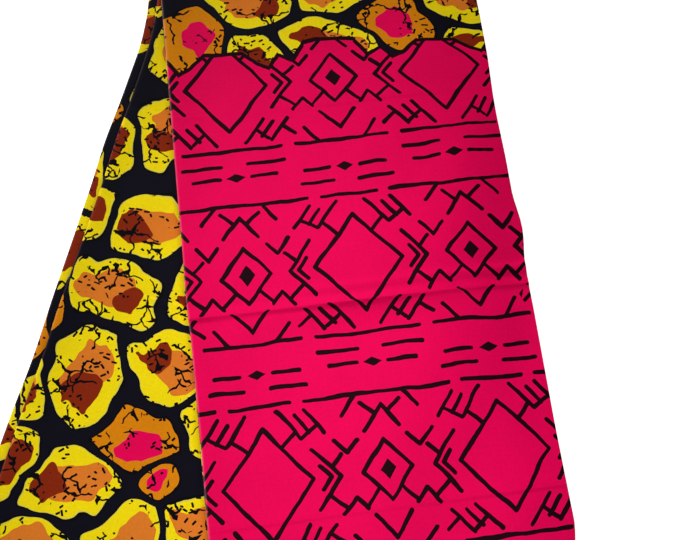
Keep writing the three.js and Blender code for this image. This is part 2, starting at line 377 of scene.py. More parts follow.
def folded_section(base):
    """The section of one length, folded with its selvedges to its middle and then in half: from one
    selvedge out to the small nose, back over the top ply, round the deep nose, and the same below."""
    half_cloth = CLOTH / 2
    left = half_cloth + NOSE_REACH
    right = STRIP - half_cloth - SMALL_NOSE_REACH
    count = round((right - left) / ACROSS_STEP)
    run = [lerp(left, right, i / count) for i in range(count + 1)]
    top, second, third, bottom = (base + PLY * (row + 0.5) for row in (3, 2, 1, 0))
    inside = [a for a in run[::-2] if a > SELVEDGE_IN][::-1]
    upper_nose = arc((right, (top + second) / 2), SMALL_NOSE_REACH, PLY / 2, SMALL_NOSE_STEPS, 1)
    lower_reach = SMALL_NOSE_REACH - SMALL_NOSE_BACK
    lower_nose = arc((right, (third + bottom) / 2), lower_reach, PLY / 2, SMALL_NOSE_STEPS, 1)
    deep_nose = arc((left, (top + bottom) / 2), NOSE_REACH, (top - bottom) / 2, NOSE_STEPS, -1)
    section = [(a, second) for a in inside]
    section += upper_nose[::-1]
    section += [(a, top) for a in run[::-1]]
    tip = len(section) + NOSE_STEPS // 2
    section += deep_nose
    section += [(a, bottom) for a in run]
    section += lower_nose[::-1]
    section += [(a, third) for a in inside[::-1]]
    return section, tip


def print_run(section, tip):
    """The distance of each point of a section from the deep nose's tip, along the cloth."""
    run = [0.0]
    for (a, h), (b, g) in zip(section, section[1:]):
        run.append(run[-1] + math.hypot(b - a, g - h))
    return [run[tip] - r for r in run]


def places_along():
    """Every place along the strip where the plies have a row of points."""
    shared = {HALF_TURN, COVERED, BAND_START, END, STRAIGHT_END}
    for i in range(1, TURN_STEPS // 2):
        shared.add(2 * HALF_TURN * i / TURN_STEPS)
    both = []
    for side, leg in ((-1, "front"), (1, "back")):
        fixed = set(shared)
        for crease in CREASES:
            if crease["leg"] == leg:
                middle = HALF_TURN + sum(crease["from"]) / 2
                fixed |= {middle + off for off in CREASE_OFFSETS}
        far = HALF_TURN + ALONG_STEP
        while far < STRAIGHT_END:
            if all(abs(other - far) > CLOSEST_ALONG for other in fixed):
                fixed.add(far)
            far += ALONG_STEP
        both += [side * far for far in fixed]
    return sorted({*both, 0.0})


STATIONS = [Station(along) for along in places_along()]


def folded_cloth(stretch):
    """A stretch of one length as a thin sheet through all its folds."""
    length_number, start, end = stretch["length"], stretch["start"], stretch["end"]
    section, tip = folded_section(length_number * BUNDLE)
    run = print_run(section, tip)
    rows = [(s, 0.0) for s in STATIONS if start - NEAR <= s.along <= end + NEAR]
    if stretch["hinge"] is not None:
        turned = [math.pi * i / END_TURN_STEPS for i in range(1, END_TURN_STEPS + 1)]
        at_start = abs(start) > abs(end)
        last = rows[0][0] if at_start else rows[-1][0]
        turns = [(last, turn) for turn in turned]
        rows = turns[::-1] + rows if at_start else rows + turns
    across_count, along_count = len(section), len(rows)
    bpy.ops.mesh.primitive_grid_add(
        x_subdivisions=across_count - 1, y_subdivisions=along_count - 1, size=1.0
    )
    cloth = bpy.context.object
    cloth.name = stretch["name"] + "_cloth"
    cloth.data.name = cloth.name
    places, prints = [], []
    for station, turn in rows:
        hinge = stretch["hinge"] if turn else None
        # A turn's cloth is counted on past the place where the straight stretch ends.
        past = turn * BUNDLE / 2
        for (across, height), cloth_run in zip(section, run):
            taken = past + station.tucked(across)
            along = station.along + math.copysign(taken, station.along)
            point = place(station, across, height, length_number, turn, hinge)
            places.extend(value * MM for value in point)
            prints.append((cloth_run * MM, (along + PRINT_FROM[length_number]) * MM))
    cloth.data.vertices.foreach_set("co", places)
    layer = cloth.data.uv_layers.new(name="print")
    for loop in cloth.data.loops:
        layer.data[loop.index].uv = prints[loop.vertex_index]
    for other in [u for u in cloth.data.uv_layers if u.name != "print"]:
        cloth.data.uv_layers.remove(other)
    cloth.data.update()
    thicken(cloth)
    return cloth


def thicken(cloth):
    """Gives the sheet its thickness, and turns its faces outwards."""
    solidify = cloth.modifiers.new("thickness", "SOLIDIFY")
    solidify.thickness = CLOTH * MM
    solidify.offset = 0
    bpy.ops.object.modifier_apply(modifier=solidify.name)
    bpy.ops.object.mode_set(mode="EDIT")
    bpy.ops.mesh.select_all(action="SELECT")
    bpy.ops.mesh.normals_make_consistent(inside=False)
    bpy.ops.object.mode_set(mode="OBJECT")
    bpy.ops.object.shade_smooth_by_angle(angle=SMOOTH_UNDER)
    bpy.ops.object.select_all(action="DESELECT")


# Where along the cloth's print each length starts, from the inner one to the outer one
PRINT_FROM = [0.0, -930.0, 1610.0, 0.0]

# The stretches of the four lengths, counted from the stack's inner face. hinge is the height of the
# turn into the next length, where the stretch ends at an end of the stack.
STRETCHES = [
    {
        "name": "front_leg_face", "length": 3, "start": -STRAIGHT_END, "end": -COVERED,
        "hinge": 3 * BUNDLE, "print": "magenta", "replaces": ["front_leg_face"],
        "rests_on": ["third_length_under_front"],
    },
    {
        "name": "top_turn", "length": 3, "start": -COVERED, "end": COVERED,
        "hinge": None, "print": "pebble", "replaces": ["top_turn"],
        "rests_on": ["third_length_under_front"],
    },
    {
        "name": "back_leg_underside", "length": 3, "start": COVERED, "end": END,
        "hinge": None, "print": "pebble", "replaces": ["back_leg_underside"],
        "rests_on": [],
    },
    {
        "name": "third_length_under_front", "length": 2, "start": -STRAIGHT_END, "end": BAND_START,
        "hinge": None, "print": "pebble", "replaces": ["hidden_layers"],
        "rests_on": ["second_length"],
    },
    {
        "name": "back_leg_lower_band", "length": 2, "start": BAND_START, "end": STRAIGHT_END,
        "hinge": 2 * BUNDLE, "print": "pebble", "replaces": ["back_leg_lower_band"],
        "rests_on": ["back_leg_underside"],
    },
    {
        "name": "second_length", "length": 1, "start": -STRAIGHT_END, "end": STRAIGHT_END,
        "hinge": None, "print": "pebble", "replaces": ["hidden_layers"],
        "rests_on": ["back_leg_lower_band", "front_leg_underside"],
    },
    {
        "name": "front_leg_underside", "length": 0, "start": -STRAIGHT_END, "end": HALF_TURN,
        "hinge": BUNDLE, "print": "magenta", "replaces": ["front_leg_underside"],
        "rests_on": ["back_leg_face"],
    },
    {
        "name": "back_leg_face", "length": 0, "start": HALF_TURN, "end": END,
        "hinge": None, "print": "pebble", "replaces": ["back_leg_face"],
        "rests_on": ["second_length"],
    },
]


# --- Node trees -----------------------------------------------------------------------------------


class Field:
    """A value over the cloth, worked out by the nodes of one tree."""

    def __init__(self, tree, socket):
        self.tree = tree
        self.socket = socket

    def work(self, operation, *terms, clamped=False):
        node = self.tree.nodes.new("ShaderNodeMath")
        node.operation = operation
        node.use_clamp = clamped
        for put, term in zip(node.inputs, (self, *terms)):
            feed(self.tree, term, put)
        return Field(self.tree, node.outputs[0])

    def __add__(self, other):
        return self.work("ADD", other)

    def __sub__(self, other):
        return self.work("SUBTRACT", other)

    def __mul__(self, other):
        return self.work("MULTIPLY", other)

    def __truediv__(self, other):
        return self.work("DIVIDE", other)

    def size(self):
        return self.work("ABSOLUTE")

    def floor(self):
        return self.work("FLOOR")

    def over(self, edge):
        return self.work("GREATER_THAN", edge)

    def under(self, edge):
        return self.work("LESS_THAN", edge)

    def most(self, other):
        return self.work("MAXIMUM", other)

    def least(self, other):
        return self.work("MINIMUM", other)

    def repeat(self, every):
        """What is left past the last whole repeat."""
        return self.work("FLOORED_MODULO", every)

    def mirrored(self, every):
        """Distance from the nearest even repeat."""
        return self.work("PINGPONG", every)

    def held(self):
        """Held between 0 and 1."""
        return self.work("MULTIPLY", 1.0, clamped=True)

    def rounded_least(self, other, rounding):
        return self.work("SMOOTH_MIN", other, rounding)

    def away(self, other):
        """Length of the line whose two runs are this and other."""
        return (self * self + other * other).work("SQRT")

    def strayed(self, soft_noise, by):
        """Pushed up or down by a noise from 0 to 1."""
        return self + (soft_noise - 0.5) * by


def feed(tree, value, put):
    if isinstance(value, Field):
        tree.links.new(value.socket, put)
    elif isinstance(value, bpy.types.NodeSocket):
        tree.links.new(value, put)
    else:
        put.default_value = value


def vector_of(tree, x, y, z=0.0):
    node = tree.nodes.new("ShaderNodeCombineXYZ")
    for put, value in zip(node.inputs, (x, y, z)):
        feed(tree, value, put)
    return node.outputs[0]


def parts_of(tree, vector):
    node = tree.nodes.new("ShaderNodeSeparateXYZ")
    tree.links.new(vector, node.inputs[0])
    return [Field(tree, socket) for socket in node.outputs]


def noise(tree, vector, scale, detail=1.0):
    """Soft noise from 0 to 1, as a value and as three more values."""
    node = tree.nodes.new("ShaderNodeTexNoise")
    node.noise_dimensions = "2D"
    tree.links.new(vector, node.inputs["Vector"])
    node.inputs["Scale"].default_value = scale
    node.inputs["Detail"].default_value = detail
    return Field(tree, node.outputs[0]), parts_of(tree, node.outputs[1])


def cells(tree, vector, size, spread, edges=False):
    """A scatter of cells of about this size: the distance to the nearest middle, three random
    values of its cell and the middle itself, or only the distance to the cell's edge."""
    node = tree.nodes.new("ShaderNodeTexVoronoi")
    node.voronoi_dimensions = "2D"
    node.feature = "DISTANCE_TO_EDGE" if edges else "F1"
    tree.links.new(vector, node.inputs["Vector"])
    node.inputs["Scale"].default_value = 1 / size
    node.inputs["Randomness"].default_value = spread
    distance = Field(tree, node.outputs["Distance"]) * size
    if edges:
        return distance
    return distance, parts_of(tree, node.outputs["Color"]), node.outputs["Position"]


def vector_work(tree, operation, first, *others, scale=None):
    """A vector worked out from others, or a number where the work gives one."""
    node = tree.nodes.new("ShaderNodeVectorMath")
    node.operation = operation
    for put, vector in zip(node.inputs, (first, *others)):
        feed(tree, vector, put)
    if scale is not None:
        feed(tree, scale, node.inputs["Scale"])
    is_number = operation in ("DOT_PRODUCT", "DISTANCE")
    return Field(tree, node.outputs["Value" if is_number else "Vector"])


# A Mix node has sockets of its own for each kind: share, first, second, and what comes out.
MIX_SOCKETS = {"VECTOR": (0, 4, 5, 1), "RGBA": (0, 6, 7, 2)}


def blend(tree, kind, *values):
    *puts, get = MIX_SOCKETS[kind]
    node = tree.nodes.new("ShaderNodeMix")
    node.data_type = kind
    for put, value in zip(puts, values):
        feed(tree, value, node.inputs[put])
    return node.outputs[get]


def blend_colours(tree, share, first, second):
    return blend(tree, "RGBA", share, first, second)


def new_group(name, puts, gets):
    """An empty group with its sockets: (label, kind) for what goes in and what comes out."""
    tree = bpy.data.node_groups.new(name, "ShaderNodeTree")
    for label, kind in puts:
        tree.interface.new_socket(name=label, in_out="INPUT", socket_type="NodeSocket" + kind)
    for label, kind in gets:
        tree.interface.new_socket(name=label, in_out="OUTPUT", socket_type="NodeSocket" + kind)
    return tree, tree.nodes.new("NodeGroupInput"), tree.nodes.new("NodeGroupOutput")


def use_group(tree, group, **puts):
    node = tree.nodes.new("ShaderNodeGroup")
    node.node_tree = group
    for label, value in puts.items():
        feed(tree, value, node.inputs[label.replace("_", " ")])
    return node.outputs


# --- The print ------------------------------------------------------------------------------------


def colour(red, green, blue):
    """A printed colour from its values out of 255, as linear light."""
    def linear(value):
        value /= 255
        return value / 12.92 if value <= 0.04045 else ((value + 0.055) / 1.055) ** 2.4

    return (linear(red), linear(green), linear(blue), 1.0)


MAGENTA = colour(238, 0, 84)
INK = colour(30, 4, 14)
BLACK = colour(8, 7, 12)
NAVY = colour(14, 13, 25)
YELLOW = colour(252, 226, 11)
YELLOW_RIM = colour(228, 214, 78)
OCHRE = colour(224, 134, 9)
ORANGE = colour(229, 126, 39)
BROWN = colour(137, 40, 11)

STROKE = 3.45  # width of a printed line
REPEAT = 95.25  # half a repeat of the line work, across the cloth
PANEL = 172.0  # one repeat along the cloth
PANEL_TOP = 214.0
LINES_BAND = 50.0  # of it, the part that holds straight lines
FIELD_HALF = (PANEL - LINES_BAND) / 2
BEAD = {"step": 47.625, "half": 8.0, "high": 4.2}
SOLID_LOZENGE = {"half": 7.0, "high": 8.5}

# The line work, in millimetres: across from the middle of a lozenge, then along. Each stroke is
# mirrored to the other side, and those of a quarter also to the other half of the field.
BAND_STROKES = [
    {"from": (0, 0), "to": (40, 0)},
    {"from": (53, 0), "to": (96, 0)},
    {"from": (52, 13), "to": (84, 13)},
    {"from": (14, 25), "to": (35, 25)},
    {"from": (60, 25), "to": (82, 25)},
    {"from": (11, 37), "to": (39, 37)},
    {"from": (0, 50), "to": (24, 50)},
    {"from": (36, 50), "to": (96, 50)},
]
QUARTER_STROKES = [
    {"from": (0, 43), "to": (36, 0)},
    {"from": (12, 55), "to": (30, 33.5)},
    {"from": (39, 23), "to": (58, 0)},
    {"from": (43, 9), "to": (50.5, 0)},
    {"from": (27, 50), "to": (38, 37)},
    {"from": (35, 54), "to": (50, 36)},
    {"from": (56.5, 28.5), "to": (66.5, 16.5)},
    {"from": (75, 0), "to": (95.5, 24)},
    {"from": (66.5, 16.5), "to": (75, 26.5)},
    {"from": (80.5, 33), "to": (95.5, 50.5)},
    {"from": (64, 47), "to": (75, 60)},
]
RUNGS = [
    {"from": (22, 43), "to": (33, 52)},
    {"from": (45, 42), "to": (56, 51)},
    {"from": (60, 24), "to": (47.5, 13.5)},
    {"from": (86, 13), "to": (74, 25.5)},
    {"from": (14, -26), "to": (26, -37)},
    {"from": (52, -7), "to": (61, -16)},
    {"from": (90, -44.5), "to": (79, -54)},
    {"from": (45, -42), "to": (31, -33)},
]
# The edge of the line work towards the pebbles: across as above, then along
ZONE_AT = 120.0
ZONE_EDGE = [(0, 0), (17, 0), (31, 12), (41, 17), (50, 5), (62, 11), (73, -7), (84, -9), (96, -9)]

OUTLINE_SHARE = 0.55  # half the width of the line along that edge, as a share of a printed line's
ACROSS_START = 45.0  # where the repeat starts, across
# The unsteady hand: the size of its slow and quick waves, and how far each pushes the lines
HAND_WAVES = {"slow": 38.0, "quick": 9.0, "slow_by": 5.0, "quick_by": 0.9}
STROKE_VARIES = 2.2
NO_STROKE = 1000.0  # the distance to a stroke, before there is one

PEBBLE_TILE = (190.5, 236.0)
PEBBLE_GAP = 3.4  # half the dark ground left between two pebbles
PEBBLES = [
    {"at": (20, 22), "long": 47, "wide": 33, "turn": 28, "ochre": 0},
    {"at": (92, -4), "long": 40, "wide": 30, "turn": -35, "ochre": 1},
    {"at": (152, 40), "long": 44, "wide": 33, "turn": 80, "ochre": 0},
    {"at": (82, 66), "long": 44, "wide": 31, "turn": 190, "ochre": 0},
    {"at": (22, 104), "long": 36, "wide": 30, "turn": 62, "ochre": 1},
    {"at": (148, 118), "long": 44, "wide": 32, "turn": 14, "ochre": 0},
    {"at": (76, 142), "long": 42, "wide": 33, "turn": 120, "ochre": 0},
    {"at": (12, 182), "long": 44, "wide": 31, "turn": -20, "ochre": 0},
    {"at": (136, 186), "long": 43, "wide": 31, "turn": 150, "ochre": 0},
    {"at": (64, 206), "long": 25, "wide": 20, "turn": 60, "ochre": 1},
]
PEBBLE_WAVES = {"slow": 58.0, "quick": 18.0, "slow_by": 34.0, "quick_by": 5.0}
PEBBLE_ROUNDING = 9.0
PEBBLE_LINE = 1.6  # width of the black line round a pebble
PEBBLE_RIM = 0.8  # and of the pale rim inside it
NO_PEBBLE = -100.0  # the depth in a pebble, before there is one
# What lies in a pebble: its middle and how much smaller it is than the pebble, along and across, how
# much its edge varies, and how far it stays inside
CORE = {"at": (0.1, 0.1), "smaller": (1.62, 1.75), "uneven": 0.6, "inside": 4.0}
PATCH = {"at": (-0.36, -0.02), "smaller": (3.2, 2.2), "uneven": 1.1, "inside": 3.5}
PINK = {"at": (0.0, -0.05), "smaller": (1.9, 1.9), "uneven": 0.8, "inside": 5.0}

# The dark marks on the pebbles, in clusters of this size. over is the noise above which they show.
MARK_CLUSTER = 24.0
DASHES = {"apart": 7.0, "spread": 0.9, "turned": 2.6, "half": 2.4, "thick": 0.95, "over": 0.54}
CRACK_WAVES = {"size": 9.0, "by": 9.0}
CRACKS = [
    {"apart": 12.0, "thick": 1.05, "over": 0.61},
    {"apart": 44.0, "thick": 0.95, "over": 0.5},
]

# The cotton: its threads, their uneven places, and what each adds to the height and to the shade
THREAD = 0.55  # from one thread to the next
SLUB_ALONG = 0.06
SLUB_ACROSS = 1.1
MOTTLE_SIZE = 2.2
PATCHY_SIZE = 45.0
HEIGHTS = {"threads": 0.25, "slubs": 0.6, "mottle": 0.8}
SHADES = {"slubs": 0.1, "mottle": 0.14, "patchy": 0.12}
BUMP = {"Strength": 0.35, "Distance": 0.00012}
ROUGH = {"least": 0.28, "by_shade": 0.4}
SHEEN = {"Specular IOR Level": 0.05, "Sheen Weight": 0.3, "Sheen Roughness": 0.25}

# Painted highlight: a pale pink painted into the colour along the rounded deep fold's edge, in place
# of the light that catches it there.
FOLD_HIGHLIGHT_REACH = 1.8  # how far the painted highlight along the deep fold's edge shows, to each side
HIGHLIGHT_PATCH = {"size": 14.0, "squeeze": 0.3}
MOST_HIGHLIGHT = {"magenta": 0.36, "pebble": 0.08}
PAINTED_HIGHLIGHT = colour(255, 190, 205)


def stroke_gap_group():
    """The distance to one printed stroke with round ends, where it is less than the one put in."""
    tree, put, get = new_group(
        "stroke_gap",
        [("Place", "Vector"), ("Start", "Vector"), ("Run", "Vector"), ("Share", "Float"),
         ("Gap", "Float")],
        [("Gap", "Float")],
    )
    from_start = vector_work(tree, "SUBTRACT", put.outputs["Place"], put.outputs["Start"])
    along = vector_work(tree, "DOT_PRODUCT", from_start, put.outputs["Run"])
    part = (along * Field(tree, put.outputs["Share"])).held()
    reached = vector_work(tree, "SCALE", put.outputs["Run"], scale=part)
    gap = vector_work(tree, "DISTANCE", from_start, reached)
    tree.links.new(gap.least(Field(tree, put.outputs["Gap"])).socket, get.inputs["Gap"])
    return tree


def drawn_strokes(tree, group, at, strokes, gap):
    """The distance to the nearest of several strokes, where it is less than the one put in."""
    for row in strokes:
        run = (row["to"][0] - row["from"][0], row["to"][1] - row["from"][1], 0.0)
        gap = use_group(
            tree, group, Place=at, Start=(*row["from"], 0.0), Run=run,
            Share=1.0 / (run[0] ** 2 + run[1] ** 2), Gap=gap,
        )[0]
    return Field(tree, gap)


def wavering(tree, cloth, waves):
    """The place on the cloth, pushed about by slow and quick waves, and those waves' noises."""
    u, v, _ = parts_of(tree, cloth)
    _, slow = noise(tree, cloth, 1 / waves["slow"])
    _, quick = noise(tree, cloth, 1 / waves["quick"])
    u = u.strayed(slow[0], waves["slow_by"]).strayed(quick[0], waves["quick_by"])
    v = v.strayed(slow[1], waves["slow_by"]).strayed(quick[1], waves["quick_by"])
    return u, v, slow, quick


def lozenge(across, along, row):
    return (across / row["half"] + along / row["high"]).under(1.0)


def line_work_group(stroke_gap):
    """The magenta side's line work: straight lines with beads, and nested lozenges between them."""
    tree, put, get = new_group(
        "line_work", [("Cloth", "Vector")], [("Ink", "Float"), ("Zone", "Float")]
    )
    u, v, slow, _ = wavering(tree, put.outputs["Cloth"], HAND_WAVES)
    width = (slow[2] - 0.5) * STROKE_VARIES + STROKE
    panel = ((v - PANEL_TOP) / PANEL).floor()
    in_panel = (v - PANEL_TOP).repeat(PANEL)
    # Every other panel is moved by half a repeat.
    across = (u + panel.repeat(2.0) * REPEAT + ACROSS_START).mirrored(REPEAT)
    field_run = in_panel - (LINES_BAND + FIELD_HALF)
    gap = drawn_strokes(tree, stroke_gap, vector_of(tree, across, in_panel), BAND_STROKES, NO_STROKE)
    quarter = vector_of(tree, across, field_run.size())
    gap = drawn_strokes(tree, stroke_gap, quarter, QUARTER_STROKES, gap.socket)
    gap = drawn_strokes(tree, stroke_gap, vector_of(tree, across, field_run), RUNGS, gap.socket)
    # The top line of the next panel shows its upper half at this panel's foot.
    foot = vector_of(tree, (across * -1.0 + REPEAT), in_panel - PANEL)
    gap = drawn_strokes(tree, stroke_gap, foot, BAND_STROKES[:2], gap.socket)
    ink = gap.under(width * 0.5)
    off_row = (in_panel - LINES_BAND / 2).size()
    ink = ink.most(lozenge(across.mirrored(BEAD["step"]), off_row, BEAD))
    ink = ink.most(lozenge(across * -1.0 + REPEAT, field_run.size(), SOLID_LOZENGE))
    # The uneven edge towards the pebbles
    rises, shortenings = [], []
    for (a, low), (b, high) in zip(ZONE_EDGE, ZONE_EDGE[1:]):
        part = (across - a) / (b - a)
        rises.append(part.held() * (high - low))
        here = part.over(0.0) * part.under(1.0)
        # A slanting edge is nearer than its distance along the cloth.
        shortenings.append(here * math.cos(math.atan((high - low) / (b - a))))
    from_edge = v - ZONE_AT - sum(rises[1:], rises[0])
    zone = from_edge.over(0.0)
    gap = (from_edge * sum(shortenings[1:], shortenings[0])).size()
    ink = (ink * zone).most(gap.under(width * OUTLINE_SHARE))
    tree.links.new(ink.socket, get.inputs["Ink"])
    tree.links.new(zone.socket, get.inputs["Zone"])
    return tree


def crackle_group():
    """Short thick dashes in clusters, branching cracks, and a few long ones."""
    tree, put, get = new_group("crackle_marks", [("Cloth", "Vector")], [("Ink", "Float")])
    cloth = put.outputs["Cloth"]
    u, v, _ = parts_of(tree, cloth)
    _, cluster = noise(tree, cloth, 1 / MARK_CLUSTER)
    _, draw, middle = cells(tree, cloth, DASHES["apart"], DASHES["spread"])
    mid_u, mid_v, _ = parts_of(tree, middle)
    angle = (draw[0] - 0.5) * DASHES["turned"]
    cos, sin = angle.work("COSINE"), angle.work("SINE")
    off_u, off_v = u - mid_u, v - mid_v
    run = off_u * cos + off_v * sin
    rank = off_v * cos - off_u * sin
    past_end = (run.size() - draw[1] * DASHES["half"]).most(0.0)
    ink = past_end.away(rank).under(DASHES["thick"]) * cluster[0].over(DASHES["over"])
    _, wave = noise(tree, cloth, 1 / CRACK_WAVES["size"])
    swayed = vector_of(
        tree, u.strayed(wave[0], CRACK_WAVES["by"]), v.strayed(wave[1], CRACK_WAVES["by"])
    )
    for row, where in zip(CRACKS, cluster[1:]):
        gap = cells(tree, swayed, row["apart"], 1.0, edges=True)
        ink = ink.most(gap.under(row["thick"]) * where.over(row["over"]))
    tree.links.new(ink.socket, get.inputs["Ink"])
    return tree


def pebble_group():
    """Adds one pebble of the repeat. Depth is the distance inside the nearest pebble, Next the same
    for the one behind it, and Inside the place in the nearest, from -1 to 1 along and across it."""
    tree, put, get = new_group(
        "pebble",
        [("Place", "Vector"), ("At", "Vector"), ("Long", "Float"), ("Wide", "Float"),
         ("Cos", "Float"), ("Sin", "Float"), ("Kind", "Float"),
         ("Depth", "Float"), ("Next", "Float"), ("Inside", "Vector"), ("Ochre", "Float")],
        [("Depth", "Float"), ("Next", "Float"), ("Inside", "Vector"), ("Ochre", "Float")],
    )
    got = {socket.name: Field(tree, socket) for socket in put.outputs if socket.name}
    off = vector_work(tree, "SUBTRACT", put.outputs["Place"], put.outputs["At"])
    half = (PEBBLE_TILE[0] / 2, PEBBLE_TILE[1] / 2, 1.0)
    wrapped = vector_work(tree, "WRAP", off, half, tuple(-side for side in half))
    off_u, off_v, _ = parts_of(tree, wrapped.socket)
    along = (off_u * got["Cos"] + off_v * got["Sin"]) / got["Long"]
    aside = (off_v * got["Cos"] - off_u * got["Sin"]) / got["Wide"]
    depth = (along.away(aside) * -1.0 + 1.0) * (got["Long"] + got["Wide"]) * 0.5
    nearer = depth.over(got["Depth"])
    behind = got["Next"].most(depth.least(got["Depth"]))
    here = vector_of(tree, along, aside)
    inside = blend(tree, "VECTOR", nearer, put.outputs["Inside"], here)
    ochre = got["Ochre"] + nearer * (got["Kind"] - got["Ochre"])
    tree.links.new(depth.most(got["Depth"]).socket, get.inputs["Depth"])
    tree.links.new(behind.socket, get.inputs["Next"])
    tree.links.new(inside, get.inputs["Inside"])
    tree.links.new(ochre.socket, get.inputs["Ochre"])
    return tree


def lies_in_pebble(row, along, aside, depth, soft_noise):
    """Where a spot with an uneven edge lies in a pebble."""
    near = ((along - row["at"][0]) * row["smaller"][0]).away(
        (aside - row["at"][1]) * row["smaller"][1]
    )
    return near.strayed(soft_noise, row["uneven"]).under(1.0) * depth.over(row["inside"])


def pebbles_group(pebble, crackle):
    """Rounded pebbles with a core and a dark patch, apart on the dark ground."""
    tree, put, get = new_group("pebble_print_colours", [("Cloth", "Vector")], [("Colour", "Color")])
    cloth = put.outputs["Cloth"]
    u, v, _, quick = wavering(tree, cloth, PEBBLE_WAVES)
    swayed = vector_of(tree, u, v)
    depth, behind, inside, ochre = NO_PEBBLE, NO_PEBBLE, (0.0, 0.0, 0.0), 0.0
    for row in PEBBLES:
        turn = math.radians(row["turn"])
        depth, behind, inside, ochre = use_group(
            tree, pebble, Place=swayed, At=(*row["at"], 0.0), Long=row["long"], Wide=row["wide"],
            Cos=math.cos(turn), Sin=math.sin(turn), Kind=row["ochre"],
            Depth=depth, Next=behind, Inside=inside, Ochre=ochre,
        )[:4]
    depth, behind, ochre = Field(tree, depth), Field(tree, behind), Field(tree, ochre)
    along, aside, _ = parts_of(tree, inside)
    # The ground shows as a channel where two pebbles would meet.
    channel = (depth - behind) * 0.5 - PEBBLE_GAP
    depth = depth.rounded_least(channel, PEBBLE_ROUNDING)
    pebble_here = depth.over(0.0)
    outline = depth.over(-PEBBLE_LINE)
    rim = depth.under(PEBBLE_RIM)
    yellow = ochre * -1.0 + 1.0
    core = lies_in_pebble(CORE, along, aside, depth, quick[1])
    patch = lies_in_pebble(PATCH, along, aside, depth, quick[2])
    pink = lies_in_pebble(PINK, along, aside, depth, quick[2])
    body = blend_colours(tree, ochre, YELLOW, OCHRE)
    body = blend_colours(tree, rim * yellow, body, YELLOW_RIM)
    tone = blend_colours(tree, core * yellow, body, ORANGE)
    tone = blend_colours(tree, patch * yellow, tone, BROWN)
    tone = blend_colours(tree, pink * ochre, tone, MAGENTA)
    marks = Field(tree, use_group(tree, crackle, Cloth=cloth)[0])
    tone = blend_colours(tree, marks, tone, BLACK)
    ground = blend_colours(tree, outline, NAVY, BLACK)
    tone = blend_colours(tree, pebble_here, ground, tone)
    tree.links.new(tone, get.inputs["Colour"])
    return tree


def weave_group():
    """Plain weave with uneven threads: a height for the bump, and a shade for the colour."""
    tree, put, get = new_group(
        "plain_weave", [("Cloth", "Vector")], [("Height", "Float"), ("Shade", "Float")]
    )
    cloth = put.outputs["Cloth"]
    u, v, _ = parts_of(tree, cloth)
    warp = (u * (math.tau / THREAD)).work("SINE")
    weft = (v * (math.tau / THREAD)).work("SINE")
    weft_slubs = vector_of(tree, u * SLUB_ALONG, v * SLUB_ACROSS)
    warp_slubs = vector_of(tree, u * SLUB_ACROSS, v * SLUB_ALONG)
    weft_slub, _ = noise(tree, weft_slubs, 1.0, detail=2.0)
    warp_slub, _ = noise(tree, warp_slubs, 1.0, detail=2.0)
    mottle, _ = noise(tree, cloth, 1 / MOTTLE_SIZE, detail=3.0)
    patchy, _ = noise(tree, cloth, 1 / PATCHY_SIZE, detail=2.0)
    height = warp * weft * HEIGHTS["threads"]
    height = height + weft_slub * HEIGHTS["slubs"] + warp_slub * HEIGHTS["slubs"]
    height = height + mottle * HEIGHTS["mottle"]
    tree.links.new(height.socket, get.inputs["Height"])
    shade = (weft_slub - 0.5) * SHADES["slubs"]
    shade = shade.strayed(warp_slub, SHADES["slubs"]).strayed(mottle, SHADES["mottle"])
    shade = shade.strayed(patchy, SHADES["patchy"]) + 1.0
    tree.links.new(shade.socket, get.inputs["Shade"])
    return tree


def fold_highlight_group():
    """How much painted highlight the cloth gets: most along the deep fold's edge, in an uneven line.
    """
    tree, put, get = new_group(
        "fold_highlight", [("Cloth", "Vector"), ("Most", "Float")], [("Highlight", "Float")]
    )
    u, v, _ = parts_of(tree, put.outputs["Cloth"])
    squeezed = vector_of(tree, u * HIGHLIGHT_PATCH["squeeze"], v)
    uneven, _ = noise(tree, squeezed, 1 / HIGHLIGHT_PATCH["size"], detail=3.0)
    near = (u.size() / FOLD_HIGHLIGHT_REACH * -1.0 + 1.0).held()
    highlight = near * uneven * Field(tree, put.outputs["Most"])
    tree.links.new(highlight.socket, get.inputs["Highlight"])
    return tree


def cloth_material(kind, groups):
    material = bpy.data.materials.new(kind + "_print")
    material.use_nodes = True
    tree = material.node_tree
    shader = tree.nodes["Principled BSDF"]
    uv = tree.nodes.new("ShaderNodeUVMap")
    uv.uv_map = "print"
    # The print is drawn in millimetres, with the front leg's distance from the turn positive.
    cloth = vector_work(tree, "MULTIPLY", uv.outputs[0], (1 / MM, -1 / MM, 1.0))
    tone = use_group(tree, groups["pebbles"], Cloth=cloth)[0]
    if kind == "magenta":
        drawn = use_group(tree, groups["line_work"], Cloth=cloth)
        tone = blend_colours(tree, drawn["Zone"], tone, MAGENTA)
        tone = blend_colours(tree, drawn["Ink"], tone, INK)
    # Painted highlight: pale pink mixed into the colour along the deep fold's edge.
    highlight = use_group(tree, groups["fold_highlight"], Cloth=cloth, Most=MOST_HIGHLIGHT[kind])[0]
    tone = blend_colours(tree, highlight, tone, PAINTED_HIGHLIGHT)
    weave = use_group(tree, groups["weave"], Cloth=cloth)
    shade = tree.nodes.new("ShaderNodeHueSaturation")
    tree.links.new(weave["Shade"], shade.inputs["Value"])
    tree.links.new(tone, shade.inputs["Color"])
    tree.links.new(shade.outputs[0], shader.inputs["Base Color"])
    bump = tree.nodes.new("ShaderNodeBump")
    for label, value in BUMP.items():
        bump.inputs[label].default_value = value
    tree.links.new(weave["Height"], bump.inputs["Height"])
    tree.links.new(bump.outputs[0], shader.inputs["Normal"])
    rough = Field(tree, weave["Shade"]) * ROUGH["by_shade"] + ROUGH["least"]
    tree.links.new(rough.socket, shader.inputs["Roughness"])
    for label, value in SHEEN.items():
        shader.inputs[label].default_value = value
    return material


# --- Floor, lights and camera -----------------------------------------------------------------------

